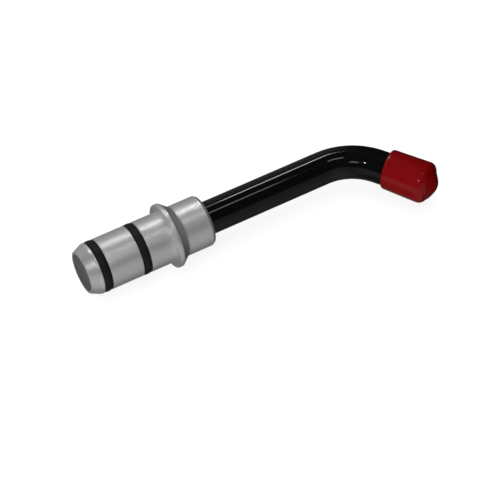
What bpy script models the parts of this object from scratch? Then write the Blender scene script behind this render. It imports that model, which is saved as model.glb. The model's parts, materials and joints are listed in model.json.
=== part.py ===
"""Curing-light light guide: a black-jacketed glass-fibre rod with one bend, glued into a turned
aluminium plug with a flange and two sealing rings, and closed by a push-on tip cap.

Units are metres. The origin is the centre of the polished input face, on the plug's axis. +X runs
along the plug towards the tip, the rod bends towards -Y in the XY plane, and +Z is up.
"""

from math import copysign, cos, pi, radians, sin

import bmesh
import bpy
from mathutils import Matrix, Vector

MM = 0.001

# Rod: the centreline runs straight, round one bend, then straight to the output face.
ROD_RADIUS = 4.0 * MM
INPUT_RADIUS = 4.4 * MM
BEND_START = 63.5 * MM
BEND_RADIUS = 14.0 * MM
BEND_ANGLE = radians(56)
TIP_STRAIGHT = 12.0 * MM
SHEATH_WALL = 0.15 * MM

# Plug, from the input face at x = 0 to the mouth that the rod leaves by. Each turn is the direction
# in degrees, from +X towards larger radii, that the surface faces where a rounded edge ends.
PLUG_RADIUS = 6.2 * MM
PLUG_BORE = 4.45 * MM
FERRULE_LENGTH = 31.6 * MM
LIP_RADIUS = 5.2 * MM
LIP_ROUND = 0.25 * MM
LIP_TURN = 115
NOSE_TURN = 122
NOSE_ROUND = 1.2 * MM
NOSE_LENGTH = 2.6 * MM
FLANGE_FACE = 21.4 * MM
FLANGE_RADIUS = 7.85 * MM
FLANGE_RIM = 1.05 * MM
RIM_ROUND = 0.3 * MM
CONE_TURN = 56
CONE_FOOT_ROUND = 0.8 * MM
FLANGE_FRONT = 24.8 * MM
MOUTH_ROUND = 0.7 * MM
MOUTH_DROP = 0.35 * MM
COUNTERSINK = 0.15 * MM

# Sealing rings, centred in their grooves and standing just proud of the plug.
RING_CENTRES = (4.0 * MM, 14.0 * MM)
GROOVE_WIDTH = 2.12 * MM
GROOVE_FLOOR = 4.97 * MM
RING_WIDTH = 1.96 * MM
RING_PROUD = 0.07 * MM
RING_SQUARENESS = 3.0
RING_POINTS = 12

# Adhesive between the rod and the bore, with a small fillet where the rod comes out.
BOND_START = 4.0 * MM
FILLET_HEIGHT = 0.35 * MM
FILLET_WAIST = 0.3 * MM
FILLET_LIP = 0.08 * MM

# Cap, measured along the tip's axis from its open mouth.
CAP_SETBACK = 2.7 * MM
CAP_MOUTH_RADIUS = 4.84 * MM
CAP_RADIUS = 5.03 * MM
CAP_SHOULDER = 11.1 * MM
CAP_CORNER = 2.0 * MM
CAP_DOME = 1.3 * MM
CAP_DOME_POWER = 1.3
CAP_EDGE = 0.24 * MM
CAP_END_GAP = 0.1 * MM

FIT = 0.02 * MM
SLIDE_FIT = 0.03 * MM
SIDES = 40
BEND_STEPS = 14
WELD = 1e-6
SHARP = radians(35)


def clear_scene():
    for thing in list(bpy.data.objects):
        bpy.data.objects.remove(thing)


def material(name, colour, roughness, metallic=0.0):
    made = bpy.data.materials.new(name)
    made.use_nodes = True
    shader = made.node_tree.nodes["Principled BSDF"]
    shader.inputs["Base Color"].default_value = (*colour, 1.0)
    shader.inputs["Roughness"].default_value = roughness
    shader.inputs["Metallic"].default_value = metallic
    return made


def add_object(name, bm, finish):
    """Turn the mesh into one smooth-shaded object whose faces point out."""
    bmesh.ops.recalc_face_normals(bm, faces=bm.faces)
    mesh = bpy.data.meshes.new(name)
    bm.to_mesh(mesh)
    bm.free()
    mesh.materials.append(finish)
    mesh.shade_smooth()
    mesh.set_sharp_from_angle(angle=SHARP)
    placed = bpy.data.objects.new(name, mesh)
    bpy.context.scene.collection.objects.link(placed)
    return placed


def arc(centre_x, centre_r, across, down, start, end, steps):
    """Points (x, r) of an elliptical arc, with angles in degrees from +X towards larger radii."""
    turns = (radians(start + (end - start) * i / steps) for i in range(steps + 1))
    return [(centre_x + across * cos(t), centre_r + down * sin(t)) for t in turns]


def turned(name, outline, finish, closed):
    """Spin an outline of (x, r) points about the X axis; an open one ends on the axis."""
    bm = bmesh.new()
    points = [bm.verts.new((x, r, 0)) for x, r in outline]
    lines = [bm.edges.new(pair) for pair in zip(points, points[1:])]
    if closed:
        lines.append(bm.edges.new((points[-1], points[0])))
    bmesh.ops.spin(bm, geom=points + lines, axis=(1, 0, 0), angle=2 * pi, steps=SIDES, use_merge=True)
    bmesh.ops.remove_doubles(bm, verts=bm.verts, dist=WELD)
    return add_object(name, bm, finish)


def rod_radius(x):
    """The jacket's outer radius inside the ferrule, where the rod tapers from the input face."""
    return INPUT_RADIUS + (ROD_RADIUS - INPUT_RADIUS) * x / FERRULE_LENGTH


def tip_point(distance):
    """A point on the centreline, this far past the end of the bend."""
    return Vector((
        BEND_START + BEND_RADIUS * sin(BEND_ANGLE) + distance * cos(BEND_ANGLE),
        -BEND_RADIUS * (1 - cos(BEND_ANGLE)) - distance * sin(BEND_ANGLE),
        0,
    ))


def drawn_on(bm, edges, offset):
    """Extrude a ring of edges by an offset, and return the new ring."""
    grown = bmesh.ops.extrude_edge_only(bm, edges=edges)["geom"]
    points = [part for part in grown if isinstance(part, bmesh.types.BMVert)]
    bmesh.ops.translate(bm, verts=points, vec=offset)
    return points, [part for part in grown if isinstance(part, bmesh.types.BMEdge) and
                    all(end in points for end in part.verts)]


def swept_skin(bm, inset):
    """Draw a circle along the rod, this far inside its surface; returns its first and last rings."""
    upright = Matrix.Rotation(pi / 2, 4, "Y")
    circle = bmesh.ops.create_circle(bm, segments=SIDES, radius=INPUT_RADIUS - inset, matrix=upright)
    first = list({line for point in circle["verts"] for line in point.link_edges})
    points, ring = drawn_on(bm, first, (FERRULE_LENGTH, 0, 0))
    narrowing = (ROD_RADIUS - inset) / (INPUT_RADIUS - inset)
    bmesh.ops.scale(bm, verts=points, vec=(1, narrowing, narrowing))
    points, ring = drawn_on(bm, ring, (BEND_START - FERRULE_LENGTH, 0, 0))
    centre = (BEND_START, -BEND_RADIUS, 0)
    bent = bmesh.ops.spin(
        bm, geom=points + ring, cent=centre, axis=(0, 0, -1), angle=BEND_ANGLE, steps=BEND_STEPS
    )
    ring = [part for part in bent["geom_last"] if isinstance(part, bmesh.types.BMEdge)]
    last = drawn_on(bm, ring, tip_point(TIP_STRAIGHT) - tip_point(0))[1]
    return first, last


def make_ferrule(finish):
    lip = arc(LIP_ROUND, LIP_RADIUS - LIP_ROUND, LIP_ROUND, LIP_ROUND, 180, LIP_TURN, 3)
    nose = arc(NOSE_LENGTH, PLUG_RADIUS - NOSE_ROUND, NOSE_ROUND, NOSE_ROUND, NOSE_TURN, 90, 3)
    grooves = []
    for centre in RING_CENTRES:
        near, far = centre - GROOVE_WIDTH / 2, centre + GROOVE_WIDTH / 2
        grooves += [(near, PLUG_RADIUS), (near, GROOVE_FLOOR), (far, GROOVE_FLOOR), (far, PLUG_RADIUS)]
    rim_top = FLANGE_RADIUS - RIM_ROUND
    rim_rear = arc(FLANGE_FACE + RIM_ROUND, rim_top, RIM_ROUND, RIM_ROUND, 180, 90, 4)
    rim_front = arc(FLANGE_FACE + FLANGE_RIM, rim_top, RIM_ROUND, RIM_ROUND, 90, CONE_TURN, 2)
    foot_r = PLUG_RADIUS + CONE_FOOT_ROUND
    foot = arc(FLANGE_FRONT, foot_r, CONE_FOOT_ROUND, CONE_FOOT_ROUND, CONE_TURN + 180, 270, 2)
    mouth = arc(FERRULE_LENGTH - MOUTH_ROUND, PLUG_RADIUS - MOUTH_DROP, MOUTH_ROUND, MOUTH_DROP, 90, 0, 3)
    sleeve = [(FERRULE_LENGTH, PLUG_BORE + COUNTERSINK), (FERRULE_LENGTH - COUNTERSINK, PLUG_BORE)]
    outline = [(0, PLUG_BORE)] + lip + nose + grooves + [(FLANGE_FACE, PLUG_RADIUS)]
    outline += rim_rear + rim_front + foot + mouth + sleeve
    turned("ferrule", outline, finish, closed=True)


def make_rings(finish):
    """Oval rubber rings: flattened on the outside, so that they fill their grooves."""
    inner = GROOVE_FLOOR + FIT
    outer = PLUG_RADIUS + RING_PROUD

    def squared(value):
        return copysign(abs(value) ** (2 / RING_SQUARENESS), value)

    turns = [2 * pi * i / RING_POINTS for i in range(RING_POINTS)]
    middle, half_depth = (inner + outer) / 2, (outer - inner) / 2
    section = [(squared(cos(t)) * RING_WIDTH / 2, middle + squared(sin(t)) * half_depth) for t in turns]
    for name, centre in zip(("rear_o_ring", "front_o_ring"), RING_CENTRES):
        ring = turned(name, section, finish, closed=True)
        ring.location.x = centre


def make_core(finish):
    bm = bmesh.new()
    first, last = swept_skin(bm, SHEATH_WALL + FIT)
    bmesh.ops.holes_fill(bm, edges=first + last)
    add_object("fibre_core", bm, finish)


def make_sheath(finish):
    bm = bmesh.new()
    swept_skin(bm, 0)
    sheath = add_object("black_sheath", bm, finish)
    wall = sheath.modifiers.new("wall", "SOLIDIFY")
    wall.thickness = SHEATH_WALL
    wall.offset = -1
    wall.use_even_offset = True


def make_bond(finish):
    skin = PLUG_BORE - FIT
    fillet_top = FERRULE_LENGTH + FILLET_HEIGHT
    outline = [
        (BOND_START, rod_radius(BOND_START) + FIT),
        (BOND_START, skin),
        (FERRULE_LENGTH - COUNTERSINK - FIT, skin),
        (FERRULE_LENGTH, ROD_RADIUS + FILLET_WAIST),
        (fillet_top, ROD_RADIUS + FILLET_LIP),
        (fillet_top, ROD_RADIUS + FIT),
        (FERRULE_LENGTH, ROD_RADIUS + FIT),
    ]
    turned("epoxy_bond", outline, finish, closed=True)


def make_cap(finish):
    flat = CAP_RADIUS - CAP_CORNER
    heights = [(flat * i / 4, (1 - (i / 4) ** 2) ** CAP_DOME_POWER) for i in range(4)]
    dome = [(CAP_SHOULDER + CAP_DOME * height, r) for r, height in heights]
    corner = arc(CAP_SHOULDER - CAP_CORNER, flat, CAP_CORNER, CAP_CORNER, 0, 90, 6)
    edge = arc(CAP_EDGE, CAP_MOUTH_RADIUS - CAP_EDGE, CAP_EDGE, CAP_EDGE, 90, 180, 3)
    bore = ROD_RADIUS + SLIDE_FIT
    blind_end = TIP_STRAIGHT - CAP_SETBACK + CAP_END_GAP
    inside = [(0, bore + CAP_EDGE / 2), (CAP_EDGE / 2, bore), (blind_end, bore), (blind_end, 0)]
    cap = turned("tip_cap", dome + corner + edge + inside, finish, closed=False)
    cap.location = tip_point(CAP_SETBACK)
    cap.rotation_euler.z = -BEND_ANGLE


def main():
    clear_scene()
    make_ferrule(material("satin_aluminium", (0.42, 0.42, 0.42), 0.38, 1.0))
    make_rings(material("black_rubber", (0.012, 0.012, 0.012), 0.6))
    make_core(material("fibre_glass", (0.1, 0.1, 0.1), 0.35))
    make_sheath(material("black_jacket", (0.004, 0.004, 0.004), 0.08))
    make_bond(material("dark_epoxy", (0.02, 0.018, 0.016), 0.3))
    make_cap(material("red_vinyl", (0.26, 0.006, 0.009), 0.22))


main()
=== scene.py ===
"""Looks of the curing-light light guide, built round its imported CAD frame. Units are metres."""

import json
from math import atan2, cos, pi, radians, sin, tan

import bmesh
import bpy
from mathutils import Matrix, Quaternion, Vector


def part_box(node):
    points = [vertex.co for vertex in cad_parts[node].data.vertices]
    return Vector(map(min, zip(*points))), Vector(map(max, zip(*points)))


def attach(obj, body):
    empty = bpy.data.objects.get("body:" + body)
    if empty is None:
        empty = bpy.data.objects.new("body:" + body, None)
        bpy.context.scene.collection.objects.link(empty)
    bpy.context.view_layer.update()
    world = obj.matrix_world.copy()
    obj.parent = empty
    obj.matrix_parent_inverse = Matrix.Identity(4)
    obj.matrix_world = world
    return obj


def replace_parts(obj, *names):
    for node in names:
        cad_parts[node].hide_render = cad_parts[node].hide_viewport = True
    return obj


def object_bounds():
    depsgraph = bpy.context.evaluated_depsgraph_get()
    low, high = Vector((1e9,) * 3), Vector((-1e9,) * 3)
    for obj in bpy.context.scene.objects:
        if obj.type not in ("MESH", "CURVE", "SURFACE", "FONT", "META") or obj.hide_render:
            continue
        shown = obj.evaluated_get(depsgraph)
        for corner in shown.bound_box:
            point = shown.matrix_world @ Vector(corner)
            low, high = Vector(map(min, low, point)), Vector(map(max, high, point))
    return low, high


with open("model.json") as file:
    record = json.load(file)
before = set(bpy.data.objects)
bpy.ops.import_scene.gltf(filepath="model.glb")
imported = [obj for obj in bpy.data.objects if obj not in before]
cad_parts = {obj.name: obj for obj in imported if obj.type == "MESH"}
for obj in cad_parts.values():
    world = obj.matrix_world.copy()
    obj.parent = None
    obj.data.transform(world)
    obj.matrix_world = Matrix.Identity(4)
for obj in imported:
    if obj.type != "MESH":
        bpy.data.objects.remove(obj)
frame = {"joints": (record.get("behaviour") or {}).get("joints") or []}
CAD_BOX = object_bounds()

MM = 0.001

# Read from the frame: the plug's length and widest radius, the rings, the rod's radius at the input
# face, where the adhesive's fillet ends, and the tip's axis.
FERRULE_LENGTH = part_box("ferrule")[1].x
FLANGE_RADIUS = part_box("ferrule")[1].z
RING_BOXES = {"rear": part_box("rear_o_ring"), "front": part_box("front_o_ring")}
RING_RADIUS = RING_BOXES["front"][1].z
INPUT_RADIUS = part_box("black_sheath")[1].z
FILLET_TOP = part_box("epoxy_bond")[1].x
TIP_AXIS = Vector(frame["joints"][0]["axis"]).normalized()
BEND_ANGLE = atan2(-TIP_AXIS.y, TIP_AXIS.x)

# Rod
ROD_RADIUS = 4.0 * MM
BEND_START = 63.5 * MM
BEND_RADIUS = 14.0 * MM
TIP_STRAIGHT = 12.0 * MM
SHEATH_WALL = 0.15 * MM
FIT = 0.02 * MM

# Plug
RING_PROUD = 0.07 * MM
PLUG_RADIUS = RING_RADIUS - RING_PROUD
PLUG_BORE = 4.45 * MM
LIP_RADIUS = 5.1 * MM
GROOVE_MARGIN = 0.08 * MM
GROOVE_FLOOR = 4.97 * MM
NOSE_LENGTH = 2.36 * MM
FLANGE_FACE = 21.4 * MM
FLANGE_SHOULDER = 22.56 * MM
CONE_FOOT = 24.52 * MM
MOUTH_CHAMFER = 0.6 * MM
MOUTH_RADIUS = 5.86 * MM
COUNTERSINK = 0.18 * MM

# Adhesive: how far its fillet starts inside the ferrule's mouth, and its thin edge on the rod
FILLET_INSET = 0.17 * MM
FILLET_EDGE = 0.01 * MM

# Cap, along the tip's axis from its open mouth: the plain turned shape
CAP_SETBACK = 2.8 * MM
CAP_MOUTH_RADIUS = 4.84 * MM
CAP_RADIUS = 5.03 * MM
CAP_SHOULDER = 10.9 * MM
CAP_CORNER = 1.85 * MM
CAP_DOME = 0.3 * MM
CAP_BORE = 4.03 * MM
CAP_END_GAP = 0.1 * MM
CAP_DEPTH = TIP_STRAIGHT - CAP_SETBACK + CAP_END_GAP
RIM_LENGTH = 0.7 * MM
RIM_DEPTH = 0.22 * MM
RIM_LIP = 0.15 * MM

# The cap's mouth is cut at a slant, which fades out along the wall.
CUT_SLANT = 0.055
CUT_OVERHANG = 0.2 * MM
CUT_FADE = 6.0 * MM

# Its wall is a little wavy, and draws in on one side near the end.
WAVE_HEIGHT = 0.012 * MM
WAVE_PHASE = 0.7
WAVE_THIRD = 0.7
WAVE_TWIST = 0.6
DENT_START = 8.2 * MM
DENT_END = 9.4 * MM
DENT_CURVE = 5.0 * MM
DENT_ANGLE = radians(129)

# Its end slants, from a share of the way to the shoulder on, and swells on one side of its middle.
END_SLANT = 0.10
SLANT_START = 0.4
DRIP_HEIGHT = 1.22 * MM
DRIP_LENGTH = 5.4 * MM
DRIP_WIDTHS = (3.9 * MM, 3.25 * MM)
DRIP_OFFSET = 0.95 * MM
DRIP_ANGLE = radians(-49)
DRIP_POWER = 1.25

# It was pushed on a little askew.
CAP_MOUTH_SHIFT = 0.24 * MM
CAP_TILT = radians(2.2)

# Mesh density
SIDES = 240
CORE_SIDES = 120
BOND_SIDES = 160
RING_STEPS = 72
FILLET_STEPS = 8
TAPER_STEPS = 8
STRAIGHT_STEPS = 16
BEND_STEPS = 72
TIP_STEPS = 8
BOND_STEPS = 12
CAP_STEPS = 24
CAP_WALL_STEPS = 48
CAP_BORE_STEPS = 8
OUTLINE_STEP = 0.5 * MM
ON_AXIS = 1e-9
SHARP = radians(50)


# ---------------------------------------------------------------- small tools

def placed(name, data):
    """A new object of this mesh, light or camera, in the scene."""
    made = bpy.data.objects.new(name, data)
    bpy.context.scene.collection.objects.link(made)
    return made


def add_node(tree, kind, inputs=None, **settings):
    """A shader node with these settings, and each input linked to a socket or set to a value."""
    made = tree.nodes.new(kind)
    for key, value in settings.items():
        setattr(made, key, value)
    for key, value in (inputs or {}).items():
        if isinstance(value, bpy.types.NodeSocket):
            tree.links.new(value, made.inputs[key])
        else:
            made.inputs[key].default_value = value
    return made


# ---------------------------------------------------------------- mesh tools

def filleted(corners):
    """Outline through (x, r, fillet radius) corners, as (x, r, edge) points. Edge rises to 1 in the
    middle of an outer edge's fillet, and stays 0 in an inner corner's."""
    count = len(corners)
    points = []
    for i, (x, r, radius) in enumerate(corners):
        here = Vector((x, r))
        before = (Vector(corners[i - 1][:2]) - here).normalized()
        after = (Vector(corners[(i + 1) % count][:2]) - here).normalized()
        half = before.angle(after) / 2
        reach = radius / tan(half)
        middle = here + (before + after).normalized() * (radius / sin(half))
        start = here + before * reach - middle
        end = here + after * reach - middle
        turn = start.angle_signed(end)
        peak = 1.0 if turn > 0 else 0.0
        for k in range(FILLET_STEPS + 1):
            spoke = start.copy()
            spoke.rotate(Matrix.Rotation(-turn * k / FILLET_STEPS, 2))
            edge = peak * sin(pi * k / FILLET_STEPS)
            points.append((middle.x + spoke.x, middle.y + spoke.y, edge))
    return points


def subdivided(outline, step):
    """The closed outline again, with its long stretches cut into equal parts about this long."""
    points = []
    for (x0, r0, e0), (x1, r1, e1) in zip(outline, outline[1:] + outline[:1]):
        length = (Vector((x1, r1)) - Vector((x0, r0))).length
        parts = max(1, round(length / step))
        for k in range(parts):
            t = k / parts
            points.append((x0 + (x1 - x0) * t, r0 + (r1 - r0) * t, e0 + (e1 - e0) * t))
    return points


def finished(name, bm, look):
    """One smooth-shaded object from the mesh, with its faces pointing out."""
    bmesh.ops.recalc_face_normals(bm, faces=bm.faces)
    mesh = bpy.data.meshes.new(name)
    bm.to_mesh(mesh)
    bm.free()
    mesh.materials.append(look)
    mesh.shade_smooth()
    mesh.set_sharp_from_angle(angle=SHARP)
    return placed(name, mesh)


def lathe(name, outline, look, closed=True, sides=SIDES):
    """Turn (x, r, edge) points about the X axis. An open outline starts and ends on the axis."""
    bm = bmesh.new()
    edge_layer = bm.verts.layers.float.new("edge")
    rings = []
    for x, r, edge in outline:
        if r < ON_AXIS:
            pole = bm.verts.new((x, 0, 0))
            rings.append([pole])
            continue
        ring = []
        for k in range(sides):
            angle = 2 * pi * k / sides
            point = bm.verts.new((x, r * cos(angle), r * sin(angle)))
            point[edge_layer] = edge
            ring.append(point)
        rings.append(ring)
    pairs = list(zip(rings, rings[1:])) + ([(rings[-1], rings[0])] if closed else [])
    for a, b in pairs:
        for k in range(sides):
            n = (k + 1) % sides
            corners = [a[k % len(a)], a[n % len(a)], b[n % len(b)], b[k % len(b)]]
            bm.faces.new(list(dict.fromkeys(corners)))
    return finished(name, bm, look)


def rod_point(s):
    """Point and direction on the rod's centreline, s along it from the input face."""
    bend_length = BEND_RADIUS * BEND_ANGLE
    turn = min(max((s - BEND_START) / BEND_RADIUS, 0), BEND_ANGLE)
    direction = Vector((cos(turn), -sin(turn), 0))
    point = Vector((BEND_RADIUS * sin(turn), -BEND_RADIUS * (1 - cos(turn)), 0))
    point.x += min(s, BEND_START)
    point += direction * max(0, s - BEND_START - bend_length)
    return point, direction


def rod_radius(s):
    """The jacket's radius: it narrows inside the ferrule, then stays the same to the tip."""
    share = min(s / FERRULE_LENGTH, 1)
    return INPUT_RADIUS + (ROD_RADIUS - INPUT_RADIUS) * share


def swept(name, stations, look, closed, sides=SIDES):
    """Rings along the rod's centreline at (s, radius, edge) stations; an open list is capped."""
    bm = bmesh.new()
    edge_layer = bm.verts.layers.float.new("edge")
    rings = []
    for s, radius, edge in stations:
        centre, direction = rod_point(s)
        across = Vector((-direction.y, direction.x, 0))
        ring = []
        for k in range(sides):
            angle = 2 * pi * k / sides
            spoke = cos(angle) * across + sin(angle) * Vector((0, 0, 1))
            point = bm.verts.new(centre + radius * spoke)
            point[edge_layer] = edge
            ring.append(point)
        rings.append(ring)
    pairs = list(zip(rings, rings[1:])) + ([(rings[-1], rings[0])] if closed else [])
    for a, b in pairs:
        for k in range(sides):
            n = (k + 1) % sides
            bm.faces.new((a[k], a[n], b[n], b[k]))
    if not closed:
        bm.faces.new(rings[0])
        bm.faces.new(rings[-1])
    return finished(name, bm, look)


def rod_stations(start, end):
    """Distances along the rod, close together round the bend."""
    bend_end = BEND_START + BEND_RADIUS * BEND_ANGLE
    marks = [start]
    stretches = [
        (start, FERRULE_LENGTH, TAPER_STEPS),
        (FERRULE_LENGTH, BEND_START, STRAIGHT_STEPS),
        (BEND_START, bend_end, BEND_STEPS),
        (bend_end, end, TIP_STEPS),
    ]
    for low, high, steps in stretches:
        marks += [low + (high - low) * k / steps for k in range(1, steps + 1)]
    return marks


# ---------------------------------------------------------------- materials

class Look:
    """A material under construction: a Principled shader and short ways to feed its sockets."""

    def __init__(self, name, **constants):
        self.material = bpy.data.materials.new(name)
        self.material.use_nodes = True
        self.tree = self.material.node_tree
        self.shader = self.tree.nodes["Principled BSDF"]
        for socket, value in constants.items():
            self.shader.inputs[socket.replace("_", " ")].default_value = value
        self.coordinates = self.tree.nodes.new("ShaderNodeTexCoord").outputs["Object"]

    def node(self, kind, inputs=None, **settings):
        return add_node(self.tree, kind, inputs, **settings)

    def stretched(self, scale):
        """Coordinates scaled along each axis: a small scale draws a pattern out along it."""
        inputs = {"Vector": self.coordinates, "Scale": scale}
        return self.node("ShaderNodeMapping", inputs).outputs[0]

    def noise(self, size, detail=4.0, rough=0.55, vector=None):
        """Noise whose features are about this long, in metres."""
        vector = vector or self.coordinates
        inputs = {"Vector": vector, "Scale": 1 / size, "Detail": detail, "Roughness": rough}
        return self.node("ShaderNodeTexNoise", inputs).outputs["Fac"]

    def spread(self, factor, low, high, start=0.3, stop=0.7):
        """Map a factor between start and stop onto a range of values."""
        inputs = {"Value": factor, "From Min": start, "From Max": stop, "To Min": low, "To Max": high}
        return self.node("ShaderNodeMapRange", inputs).outputs[0]

    def mixed(self, factor, first, second):
        """The first colour where the factor is 0, the second where it is 1."""
        inputs = {0: factor, 6: first, 7: second}
        return self.node("ShaderNodeMix", inputs, data_type="RGBA").outputs[2]

    def sum(self, a, b):
        return self.node("ShaderNodeMath", {0: a, 1: b}, operation="ADD").outputs[0]

    def bump(self, height, depth, strength=1.0, normal=None):
        inputs = {"Height": height, "Distance": depth, "Strength": strength}
        if normal:
            inputs["Normal"] = normal
        return self.node("ShaderNodeBump", inputs).outputs[0]

    def feed(self, socket, value):
        self.tree.links.new(value, self.shader.inputs[socket])

    def attribute(self, name):
        return self.node("ShaderNodeAttribute", attribute_name=name).outputs["Fac"]


def grey(value, warm=0.0):
    return (value + warm, value, value - warm, 1.0)


def satin_aluminium():
    """Turned, finely bead-blasted and clear-anodised: fine grain over faint turning lines."""
    look = Look("satin_aluminium", Metallic=0.88)
    grain = look.noise(0.09 * MM, detail=6.0, rough=0.7)
    clouds = look.noise(1.6 * MM, detail=3.0)
    lines = look.noise(0.05 * MM, detail=3.0, vector=look.stretched((1.0, 0.02, 0.02)))
    edge = look.attribute("edge")
    tone = look.mixed(look.spread(clouds, 0.0, 1.0), grey(0.87), grey(0.93))
    tone = look.mixed(look.spread(grain, 0.0, 0.5), tone, grey(0.72))
    tone = look.mixed(look.spread(edge, 0.0, 0.7, 0.0, 1.0), tone, grey(0.95))
    look.feed("Base Color", tone)
    rough = look.sum(look.spread(grain, 0.37, 0.45), look.spread(edge, 0.0, -0.10, 0.0, 1.0))
    look.feed("Roughness", rough)
    fine = look.bump(grain, 0.004 * MM, 0.35)
    look.feed("Normal", look.bump(lines, 0.003 * MM, 0.25, fine))
    return look.material


def black_rubber():
    """Moulded nitrile: nearly black, slightly dusty."""
    look = Look("black_rubber", Specular_IOR_Level=0.3)
    dust = look.noise(0.25 * MM, detail=5.0, rough=0.65)
    skin = look.noise(0.06 * MM, detail=3.0)
    tone = look.mixed(look.spread(dust, 0.0, 1.0, 0.45, 0.8), grey(0.005), grey(0.012))
    look.feed("Base Color", tone)
    look.feed("Roughness", look.spread(skin, 0.42, 0.58))
    look.feed("Normal", look.bump(skin, 0.004 * MM, 0.4))
    return look.material


def fused_fibres():
    """Polished end of a fused bundle: fine cells of glass with thin darker walls between them."""
    look = Look("fused_fibres", Specular_IOR_Level=0.4)
    cell = {"Vector": look.coordinates, "Scale": 1 / (0.11 * MM), "Randomness": 0.35}
    cells = look.node("ShaderNodeTexVoronoi", cell, feature="DISTANCE_TO_EDGE").outputs["Distance"]
    shade = look.node("ShaderNodeTexVoronoi", cell, feature="F1").outputs["Color"]
    clouds = look.noise(2.4 * MM, detail=2.0)
    tone = look.mixed(look.spread(clouds, 0.0, 1.0), grey(0.090), grey(0.104))
    tone = look.mixed(look.spread(shade, 0.0, 0.35, 0.0, 1.0), tone, grey(0.125))
    tone = look.mixed(look.spread(cells, 0.45, 0.0, 0.0, 0.08), tone, grey(0.045))
    look.feed("Base Color", tone)
    look.feed("Roughness", look.spread(clouds, 0.22, 0.34))
    look.feed("Normal", look.bump(cells, 0.001 * MM, 0.3))
    return look.material


def black_glaze():
    """Glossy black jacket, with the slight waviness of a fired or dipped coat."""
    look = Look("black_glaze", Specular_IOR_Level=0.38)
    ripple = look.noise(2.2 * MM, detail=2.0, vector=look.stretched((0.35, 1.0, 1.0)))
    haze = look.noise(0.5 * MM, detail=5.0, rough=0.6)
    look.feed("Base Color", look.mixed(look.spread(haze, 0.0, 1.0), grey(0.0009), grey(0.0016)))
    look.feed("Roughness", look.spread(haze, 0.05, 0.09))
    look.feed("Normal", look.bump(ripple, 0.002 * MM, 0.2))
    return look.material


def dark_epoxy():
    """Cured adhesive: dark brown, glossy and a little streaky."""
    look = Look("dark_epoxy", Specular_IOR_Level=0.5)
    streaks = look.noise(0.6 * MM, detail=3.0)
    tone = look.mixed(look.spread(streaks, 0.0, 1.0), grey(0.014, 0.002), grey(0.03, 0.004))
    look.feed("Base Color", tone)
    look.feed("Roughness", look.spread(streaks, 0.18, 0.34))
    look.feed("Normal", look.bump(streaks, 0.01 * MM, 0.3))
    return look.material


def red_vinyl():
    """Dip-moulded soft vinyl: deep glossy red, with faint flow marks and a slightly mottled skin."""
    look = Look("red_vinyl", Specular_IOR_Level=0.30)
    flow = look.noise(2.6 * MM, detail=3.0, vector=look.stretched((0.5, 1.0, 1.0)))
    mottle = look.noise(0.35 * MM, detail=5.0, rough=0.6)
    deep, bright = (0.170, 0.0012, 0.0021, 1.0), (0.200, 0.0017, 0.0028, 1.0)
    tone = look.mixed(look.spread(flow, 0.0, 1.0), deep, bright)
    tone = look.mixed(look.spread(mottle, 0.0, 0.25, 0.5, 0.8), tone, (0.148, 0.0011, 0.0018, 1.0))
    look.feed("Base Color", tone)
    look.feed("Roughness", look.spread(mottle, 0.07, 0.11))
    fine = look.bump(mottle, 0.002 * MM, 0.1)
    look.feed("Normal", look.bump(flow, 0.015 * MM, 0.3, fine))
    return look.material


def pale_floor():
    """Pale paper that glows, so that it meets the white backdrop with no line."""
    look = Look("pale_floor", Roughness=0.9, Specular_IOR_Level=0.0)
    look.shader.inputs["Emission Color"].default_value = (1.0, 1.0, 1.0, 1.0)
    look.shader.inputs["Emission Strength"].default_value = FLOOR_GLOW
    fibres = look.noise(8 * MM, detail=4.0)
    look.feed("Base Color", look.mixed(look.spread(fibres, 0.0, 1.0), grey(0.33), grey(0.35)))
    return look.material


# ---------------------------------------------------------------- pieces

def make_ferrule(look):
    """The turned plug: nose, ring grooves, flange with a cone in front, sleeve and bore."""
    corners = [
        (0, PLUG_BORE, 0.05 * MM),
        (0, LIP_RADIUS, 0.22 * MM),
        (NOSE_LENGTH, PLUG_RADIUS, 1.4 * MM),
    ]
    for low, high in RING_BOXES.values():
        near, far = low.x - GROOVE_MARGIN, high.x + GROOVE_MARGIN
        corners += [(near, PLUG_RADIUS, 0.07 * MM), (near, GROOVE_FLOOR, 0.12 * MM)]
        corners += [(far, GROOVE_FLOOR, 0.12 * MM), (far, PLUG_RADIUS, 0.07 * MM)]
    corners += [
        (FLANGE_FACE, PLUG_RADIUS, 0.12 * MM),
        (FLANGE_FACE, FLANGE_RADIUS, 0.32 * MM),
        (FLANGE_SHOULDER, FLANGE_RADIUS, 0.4 * MM),
        (CONE_FOOT, PLUG_RADIUS, 1.0 * MM),
        (FERRULE_LENGTH - MOUTH_CHAMFER, PLUG_RADIUS, 0.3 * MM),
        (FERRULE_LENGTH, MOUTH_RADIUS, 0.12 * MM),
        (FERRULE_LENGTH, PLUG_BORE + COUNTERSINK, 0.04 * MM),
        (FERRULE_LENGTH - COUNTERSINK, PLUG_BORE, 0.04 * MM),
    ]
    outline = subdivided(filleted(corners), OUTLINE_STEP)
    piece = lathe("turned_ferrule", outline, look)
    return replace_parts(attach(piece, "guide"), "ferrule")


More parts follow.
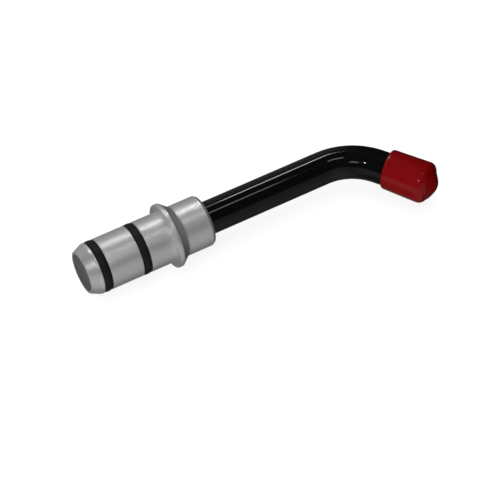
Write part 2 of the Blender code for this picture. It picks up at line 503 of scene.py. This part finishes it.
def make_ring(which, look):
    """Rubber ring of rounded-square section, with the frame's width and outer radius."""
    low, high = RING_BOXES[which]
    inner, outer = GROOVE_FLOOR + FIT, high.z
    half_width, half_depth = (high.x - low.x) / 2, (outer - inner) / 2
    centre_x, centre_r = (high.x + low.x) / 2, (outer + inner) / 2
    points = []
    for k in range(RING_STEPS):
        t = 2 * pi * k / RING_STEPS
        across = abs(cos(t)) ** (2 / 3) * (1 if cos(t) > 0 else -1)
        up = abs(sin(t)) ** (2 / 3) * (1 if sin(t) > 0 else -1)
        points.append((centre_x + across * half_width, centre_r + up * half_depth, 0.0))
    piece = lathe(which + "_sealing_ring", points, look)
    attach(piece, "guide")
    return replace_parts(piece, which + "_o_ring")


def make_core(look):
    """The glass bundle, with its two polished end faces lightly bevelled."""
    bevel = 0.05 * MM
    end = BEND_START + BEND_RADIUS * BEND_ANGLE + TIP_STRAIGHT
    inset = SHEATH_WALL + FIT
    stations = [(0, INPUT_RADIUS - inset - bevel, 1.0), (bevel, INPUT_RADIUS - inset, 1.0)]
    stations += [(s, rod_radius(s) - inset, 0.0) for s in rod_stations(bevel, end - bevel)[1:]]
    stations.append((end, ROD_RADIUS - inset - bevel, 1.0))
    piece = swept("fused_fibre_bundle", stations, look, closed=False, sides=CORE_SIDES)
    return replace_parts(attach(piece, "guide"), "fibre_core")


def make_sheath(look):
    """The glossy jacket: a thin tube whose two ends are rounded off."""
    end = BEND_START + BEND_RADIUS * BEND_ANGLE + TIP_STRAIGHT
    half = SHEATH_WALL / 2
    marks = rod_stations(half, end - half)
    outside = [(s, rod_radius(s), 0.0) for s in marks]
    inside = [(s, rod_radius(s) - SHEATH_WALL, 0.0) for s in reversed(marks)]
    turns = [radians(30 * k) for k in range(1, 6)]
    front = [(end - half + half * sin(t), ROD_RADIUS - half + half * cos(t), 1.0) for t in turns]
    rear = [(half - half * sin(t), INPUT_RADIUS - half - half * cos(t), 1.0) for t in turns]
    piece = swept("glossy_jacket", outside + front + inside + rear, look, closed=True)
    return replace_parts(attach(piece, "guide"), "black_sheath")


def make_bond(look):
    """Adhesive in the bore, with a hollow fillet where it wets the rod at the mouth."""
    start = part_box("epoxy_bond")[0].x
    skin = PLUG_BORE - FIT
    mouth = FERRULE_LENGTH - FILLET_INSET
    foot = ROD_RADIUS + FIT
    outline = [(start, rod_radius(start) + FIT, 0.0), (start, skin, 0.0), (mouth, skin, 0.0)]
    for k in range(1, BOND_STEPS + 1):
        t = radians(90 * k / BOND_STEPS)
        x = mouth + (FILLET_TOP - mouth) * (1 - cos(t))
        outline.append((x, skin + (foot - skin + FILLET_EDGE) * sin(t), 0.0))
    outline += [(FILLET_TOP, foot, 0.0), (FERRULE_LENGTH, foot, 0.0)]
    piece = lathe("epoxy_fillet", outline, look, sides=BOND_SIDES)
    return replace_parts(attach(piece, "guide"), "epoxy_bond")


def cap_outline():
    """Profile of the plain turned cap: end, corner, wall, rounded rim of the mouth, and bore."""
    flat = CAP_RADIUS - CAP_CORNER
    outline = []
    for k in range(CAP_STEPS):
        share = k / CAP_STEPS
        outline.append((CAP_SHOULDER + CAP_DOME * (1 - share * share), flat * share, 0.0))
    for k in range(CAP_STEPS + 1):
        t = radians(90 * k / CAP_STEPS)
        outline.append((CAP_SHOULDER - CAP_CORNER * (1 - cos(t)), flat + CAP_CORNER * sin(t), 0.0))
    for k in range(1, CAP_WALL_STEPS):
        share = k / CAP_WALL_STEPS
        x = (CAP_SHOULDER - CAP_CORNER) * (1 - share) + RIM_LENGTH * share
        outline.append((x, CAP_RADIUS + (CAP_MOUTH_RADIUS - CAP_RADIUS) * share, 0.0))
    for k in range(CAP_STEPS + 1):
        t = radians(90 * k / CAP_STEPS)
        outline.append((RIM_LENGTH * (1 - sin(t)), CAP_MOUTH_RADIUS - RIM_DEPTH * (1 - cos(t)), sin(t)))
    for k in range(FILLET_STEPS + 1):
        t = radians(180 + 90 * k / FILLET_STEPS)
        outline.append((RIM_LIP * (1 + cos(t)), CAP_BORE + RIM_LIP * (1 + sin(t)), 1.0))
    outline += [(CAP_DEPTH * k / CAP_BORE_STEPS, CAP_BORE, 0.0) for k in range(1, CAP_BORE_STEPS + 1)]
    outline.append((CAP_DEPTH, 0, 0.0))
    return outline


def wave(x, angle):
    """Slight unevenness of the wall: two waves round it, and three that twist along the cap."""
    twisting = WAVE_THIRD * sin(3 * angle + x / MM * WAVE_TWIST)
    return WAVE_HEIGHT * (sin(2 * angle + WAVE_PHASE) + twisting)


def dent(x, angle):
    """How far the wall draws in before the end, on the side at DENT_ANGLE from +Y through +Z."""
    near, reach = min(x, DENT_END) - DENT_START, DENT_END - DENT_START
    depth = max(0, near) ** 2 / (2 * DENT_CURVE) + max(0, x - DENT_END) * reach / DENT_CURVE
    return depth * max(0, cos(angle - DENT_ANGLE)) ** 2


def drip(y, z):
    """Height of the off-centre swelling that the last drip of vinyl leaves on the cap's end."""
    along = y * cos(DRIP_ANGLE) + z * sin(DRIP_ANGLE) - DRIP_OFFSET
    across = z * cos(DRIP_ANGLE) - y * sin(DRIP_ANGLE)
    away = (along / DRIP_LENGTH) ** 2 + (across / DRIP_WIDTHS[across > 0]) ** 2
    return DRIP_HEIGHT * max(0, 1 - away) ** DRIP_POWER


def settled(point):
    """Where the soft cap has this point of the plain turned one. The bore stays on its axis."""
    x, y, z = point
    moved = point.copy()
    moved.x -= (CUT_OVERHANG + CUT_SLANT * y) * max(0, 1 - x / CUT_FADE)
    r, angle = (y * y + z * z) ** 0.5, atan2(z, y)
    if r < CAP_BORE + 2 * RIM_LIP and x < CAP_DEPTH + RIM_LIP:
        return moved
    share = min(1, (r + max(0, x - CAP_DEPTH)) / CAP_RADIUS)
    swell = wave(x, angle) * share
    swell -= dent(x, angle) * share
    shift = (CAP_MOUTH_SHIFT - x * tan(CAP_TILT)) * share
    lean = y * cos(DRIP_ANGLE) + z * sin(DRIP_ANGLE)
    moved.x -= END_SLANT * lean * max(0, x / CAP_SHOULDER - SLANT_START)
    if x > CAP_SHOULDER - CAP_CORNER:
        moved.x += drip(y, z)
    return moved + Vector((y * tan(CAP_TILT), shift + swell * cos(angle), swell * sin(angle)))


def make_cap(look):
    """Soft cap: slanting mouth, uneven wall, swollen end. Pushed on by hand, it sits a little askew."""
    piece = lathe("dipped_cap", cap_outline(), look, closed=False)
    for vertex in piece.data.vertices:
        vertex.co = settled(vertex.co)
    mouth = rod_point(BEND_START + BEND_RADIUS * BEND_ANGLE + CAP_SETBACK)[0]
    piece.data.transform(Matrix.Translation(mouth) @ Matrix.Rotation(-BEND_ANGLE, 4, "Z"))
    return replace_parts(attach(piece, "cap"), "tip_cap")


# ---------------------------------------------------------------- stage, light and camera

FLOOR_GLOW = 0.80
FLOOR_SIZE = 3.0
AIM = Vector((36.32 * MM, -13.56 * MM, 0))
CAMERA_DISTANCE = 478.5 * MM
CAMERA_AZIMUTH = -27.37
CAMERA_ELEVATION = 49.2
CAMERA_ROLL = -2.55
LENS = 150.4
CLIP = (0.01, 20.0)

# The studio by direction, as (degrees from straight up, level) pairs round the X axis, positive
# towards -Y, and as (cosine, level) pairs along X. Glossy surfaces reflect the room; the fill
# lights the rest.
ROOM_LEVELS = [(-180, 0.10), (-90, 0.18), (-70, 0.24), (-52, 0.24), (-46, 0.07), (70, 0.05),
               (80, 0.31), (115, 0.34), (140, 0.30), (160, 0.13), (180, 0.08)]
ROOM_SIDES = [(-1.0, 1.3), (-0.7, 1.1), (-0.45, 0.80), (-0.2, 1.15), (0.1, 1.30), (0.25, 1.0),
              (0.38, 0.80), (0.50, 0.15), (1.0, 0.05)]
FILL_LEVELS = [(-180, 0.40), (-90, 0.45), (-40, 0.80), (10, 1.40), (50, 1.40), (90, 1.40),
               (140, 1.10), (180, 0.50)]
FILL_SIDES = [(-1.0, 0.95), (-0.1, 0.90), (0.4, 0.20), (0.7, 0.03), (1.0, 0.04)]


def make_floor():
    """A plain floor, level with the flange's lowest point. Reflections and bounces don't see it."""
    mesh = bpy.data.meshes.new("floor")
    signs = [(-1, -1), (1, -1), (1, 1), (-1, 1)]
    mesh.from_pydata([(a * FLOOR_SIZE, b * FLOOR_SIZE, 0) for a, b in signs], [], [(0, 1, 2, 3)])
    mesh.materials.append(pale_floor())
    floor = placed("floor", mesh)
    floor.location.z = CAD_BOX[0].z
    floor.visible_glossy = False
    floor.visible_diffuse = False


def level_ramp(tree, value, low, high, levels):
    """Grey levels along a value, from (place, level) pairs that run from low to high."""
    inputs = {"Value": value, "From Min": low, "From Max": high}
    share = add_node(tree, "ShaderNodeMapRange", inputs).outputs[0]
    made = add_node(tree, "ShaderNodeValToRGB", {0: share})
    stops = made.color_ramp
    stops.elements[0].color = grey(levels[0][1])
    stops.elements[1].position = 1.0
    stops.elements[1].color = grey(levels[-1][1])
    for place, level in levels[1:-1]:
        stops.elements.new((place - low) / (high - low)).color = grey(level)
    return made.outputs[0]


def surroundings(tree, turn, along, round_x, along_x):
    """Background whose level is the product of one that varies round X and one that varies along X."""
    turns = [(radians(degrees), level) for degrees, level in round_x]
    around = level_ramp(tree, turn, -pi, pi, turns)
    factors = {0: 1.0, 6: around, 7: level_ramp(tree, along, -1.0, 1.0, along_x)}
    mixed = add_node(tree, "ShaderNodeMix", factors, data_type="RGBA", blend_type="MULTIPLY")
    return add_node(tree, "ShaderNodeBackground", {"Color": mixed.outputs[2]}).outputs[0]


def make_world():
    """White backdrop and fill; what glossy surfaces reflect is a dim room with a dark ceiling."""
    world = bpy.data.worlds.new("studio")
    bpy.context.scene.world = world
    world.use_nodes = True
    tree = world.node_tree
    tree.nodes.clear()
    direction = add_node(tree, "ShaderNodeTexCoord").outputs["Generated"]
    part = add_node(tree, "ShaderNodeSeparateXYZ", {0: direction}).outputs
    flipped = {0: part["Y"], 1: -1.0}
    forward = add_node(tree, "ShaderNodeMath", flipped, operation="MULTIPLY").outputs[0]
    sides = {0: forward, 1: part["Z"]}
    turn = add_node(tree, "ShaderNodeMath", sides, operation="ARCTAN2").outputs[0]
    rays = add_node(tree, "ShaderNodeLightPath").outputs
    white = add_node(tree, "ShaderNodeBackground", {"Color": (1.0, 1.0, 1.0, 1.0)}).outputs[0]
    fill = surroundings(tree, turn, part["X"], FILL_LEVELS, FILL_SIDES)
    room = surroundings(tree, turn, part["X"], ROOM_LEVELS, ROOM_SIDES)
    lit = {0: rays["Is Glossy Ray"], 1: fill, 2: room}
    lit = add_node(tree, "ShaderNodeMixShader", lit).outputs[0]
    seen = {0: rays["Is Camera Ray"], 1: lit, 2: white}
    seen = add_node(tree, "ShaderNodeMixShader", seen).outputs[0]
    add_node(tree, "ShaderNodeOutputWorld", {0: seen})


def strip_light(name, lifts, distance, start, end, width, power):
    """A long lamp beside the X axis, facing it. Its two lifts are the angles in degrees round X, from
    +Y through +Z, at its start and its end."""
    data = bpy.data.lights.new(name, "AREA")
    data.shape = "RECTANGLE"
    ends = []
    for x, lift in zip((start, end), lifts):
        angle = radians(lift)
        ends.append(Vector((x, distance * cos(angle), distance * sin(angle))))
    data.size = (ends[1] - ends[0]).length
    data.size_y = width
    data.energy = power
    lamp = placed(name, data)
    lamp.location = (ends[0] + ends[1]) / 2
    along = (ends[1] - ends[0]).normalized()
    away = Vector((0, lamp.location.y, lamp.location.z))
    away = (away - away.dot(along) * along).normalized()
    lamp.rotation_euler = Matrix((along, away.cross(along), away)).transposed().to_euler()
    lamp.visible_camera = False


def round_lamp(name, place, target, size, power):
    """A small round lamp that faces its target, seen as a dot in the glossy pieces."""
    data = bpy.data.lights.new(name, "AREA")
    data.shape = "DISK"
    data.size = size
    data.energy = power
    lamp = placed(name, data)
    lamp.location = place
    lamp.rotation_euler = (Vector(place) - Vector(target)).to_track_quat("Z", "Y").to_euler()
    lamp.visible_camera = False


def make_lamps():
    """Two near strips behind the rod, end to end, a far one over it, a near one over the plug, and a
    small lamp."""
    near, far = 0.15, 0.8
    strip_light("strip_behind", (55, 55), near, start=-0.03, end=0.082, width=0.013, power=0.020)
    strip_light("strip_bright", (55, 53.5), near, start=0.082, end=0.1205, width=0.013, power=0.021)
    strip_light("strip_over", (101, 101), far, start=0.12, end=0.325, width=0.09, power=0.20)
    strip_light("strip_plug", (128, 128), near, start=-0.012, end=0.030, width=0.03, power=0.0085)
    place, target = (-0.381, -0.270, 0.604), (0.075, -0.006, 0.004)
    round_lamp("small_lamp", place, target, size=0.03, power=0.30)


def make_camera():
    """Camera on a sphere round AIM: azimuth from -Y, elevation from the floor, roll in degrees."""
    data = bpy.data.cameras.new("camera")
    data.lens = LENS
    data.sensor_width = 36.0
    data.clip_start, data.clip_end = CLIP
    camera = placed("camera", data)
    azimuth, elevation = radians(CAMERA_AZIMUTH), radians(CAMERA_ELEVATION)
    back = Vector((sin(azimuth) * cos(elevation), -cos(azimuth) * cos(elevation), sin(elevation)))
    camera.location = AIM + back * CAMERA_DISTANCE
    level = (-back).to_track_quat("-Z", "Y")
    camera.rotation_mode = "QUATERNION"
    camera.rotation_quaternion = level @ Quaternion((0, 0, 1), radians(CAMERA_ROLL))
    bpy.context.scene.camera = camera


def main():
    make_ferrule(satin_aluminium())
    rubber = black_rubber()
    make_ring("rear", rubber)
    make_ring("front", rubber)
    make_core(fused_fibres())
    make_sheath(black_glaze())
    make_bond(dark_epoxy())
    make_cap(red_vinyl())
    make_floor()
    make_world()
    make_lamps()
    make_camera()
    bpy.context.scene.view_settings.view_transform = "Standard"


main()
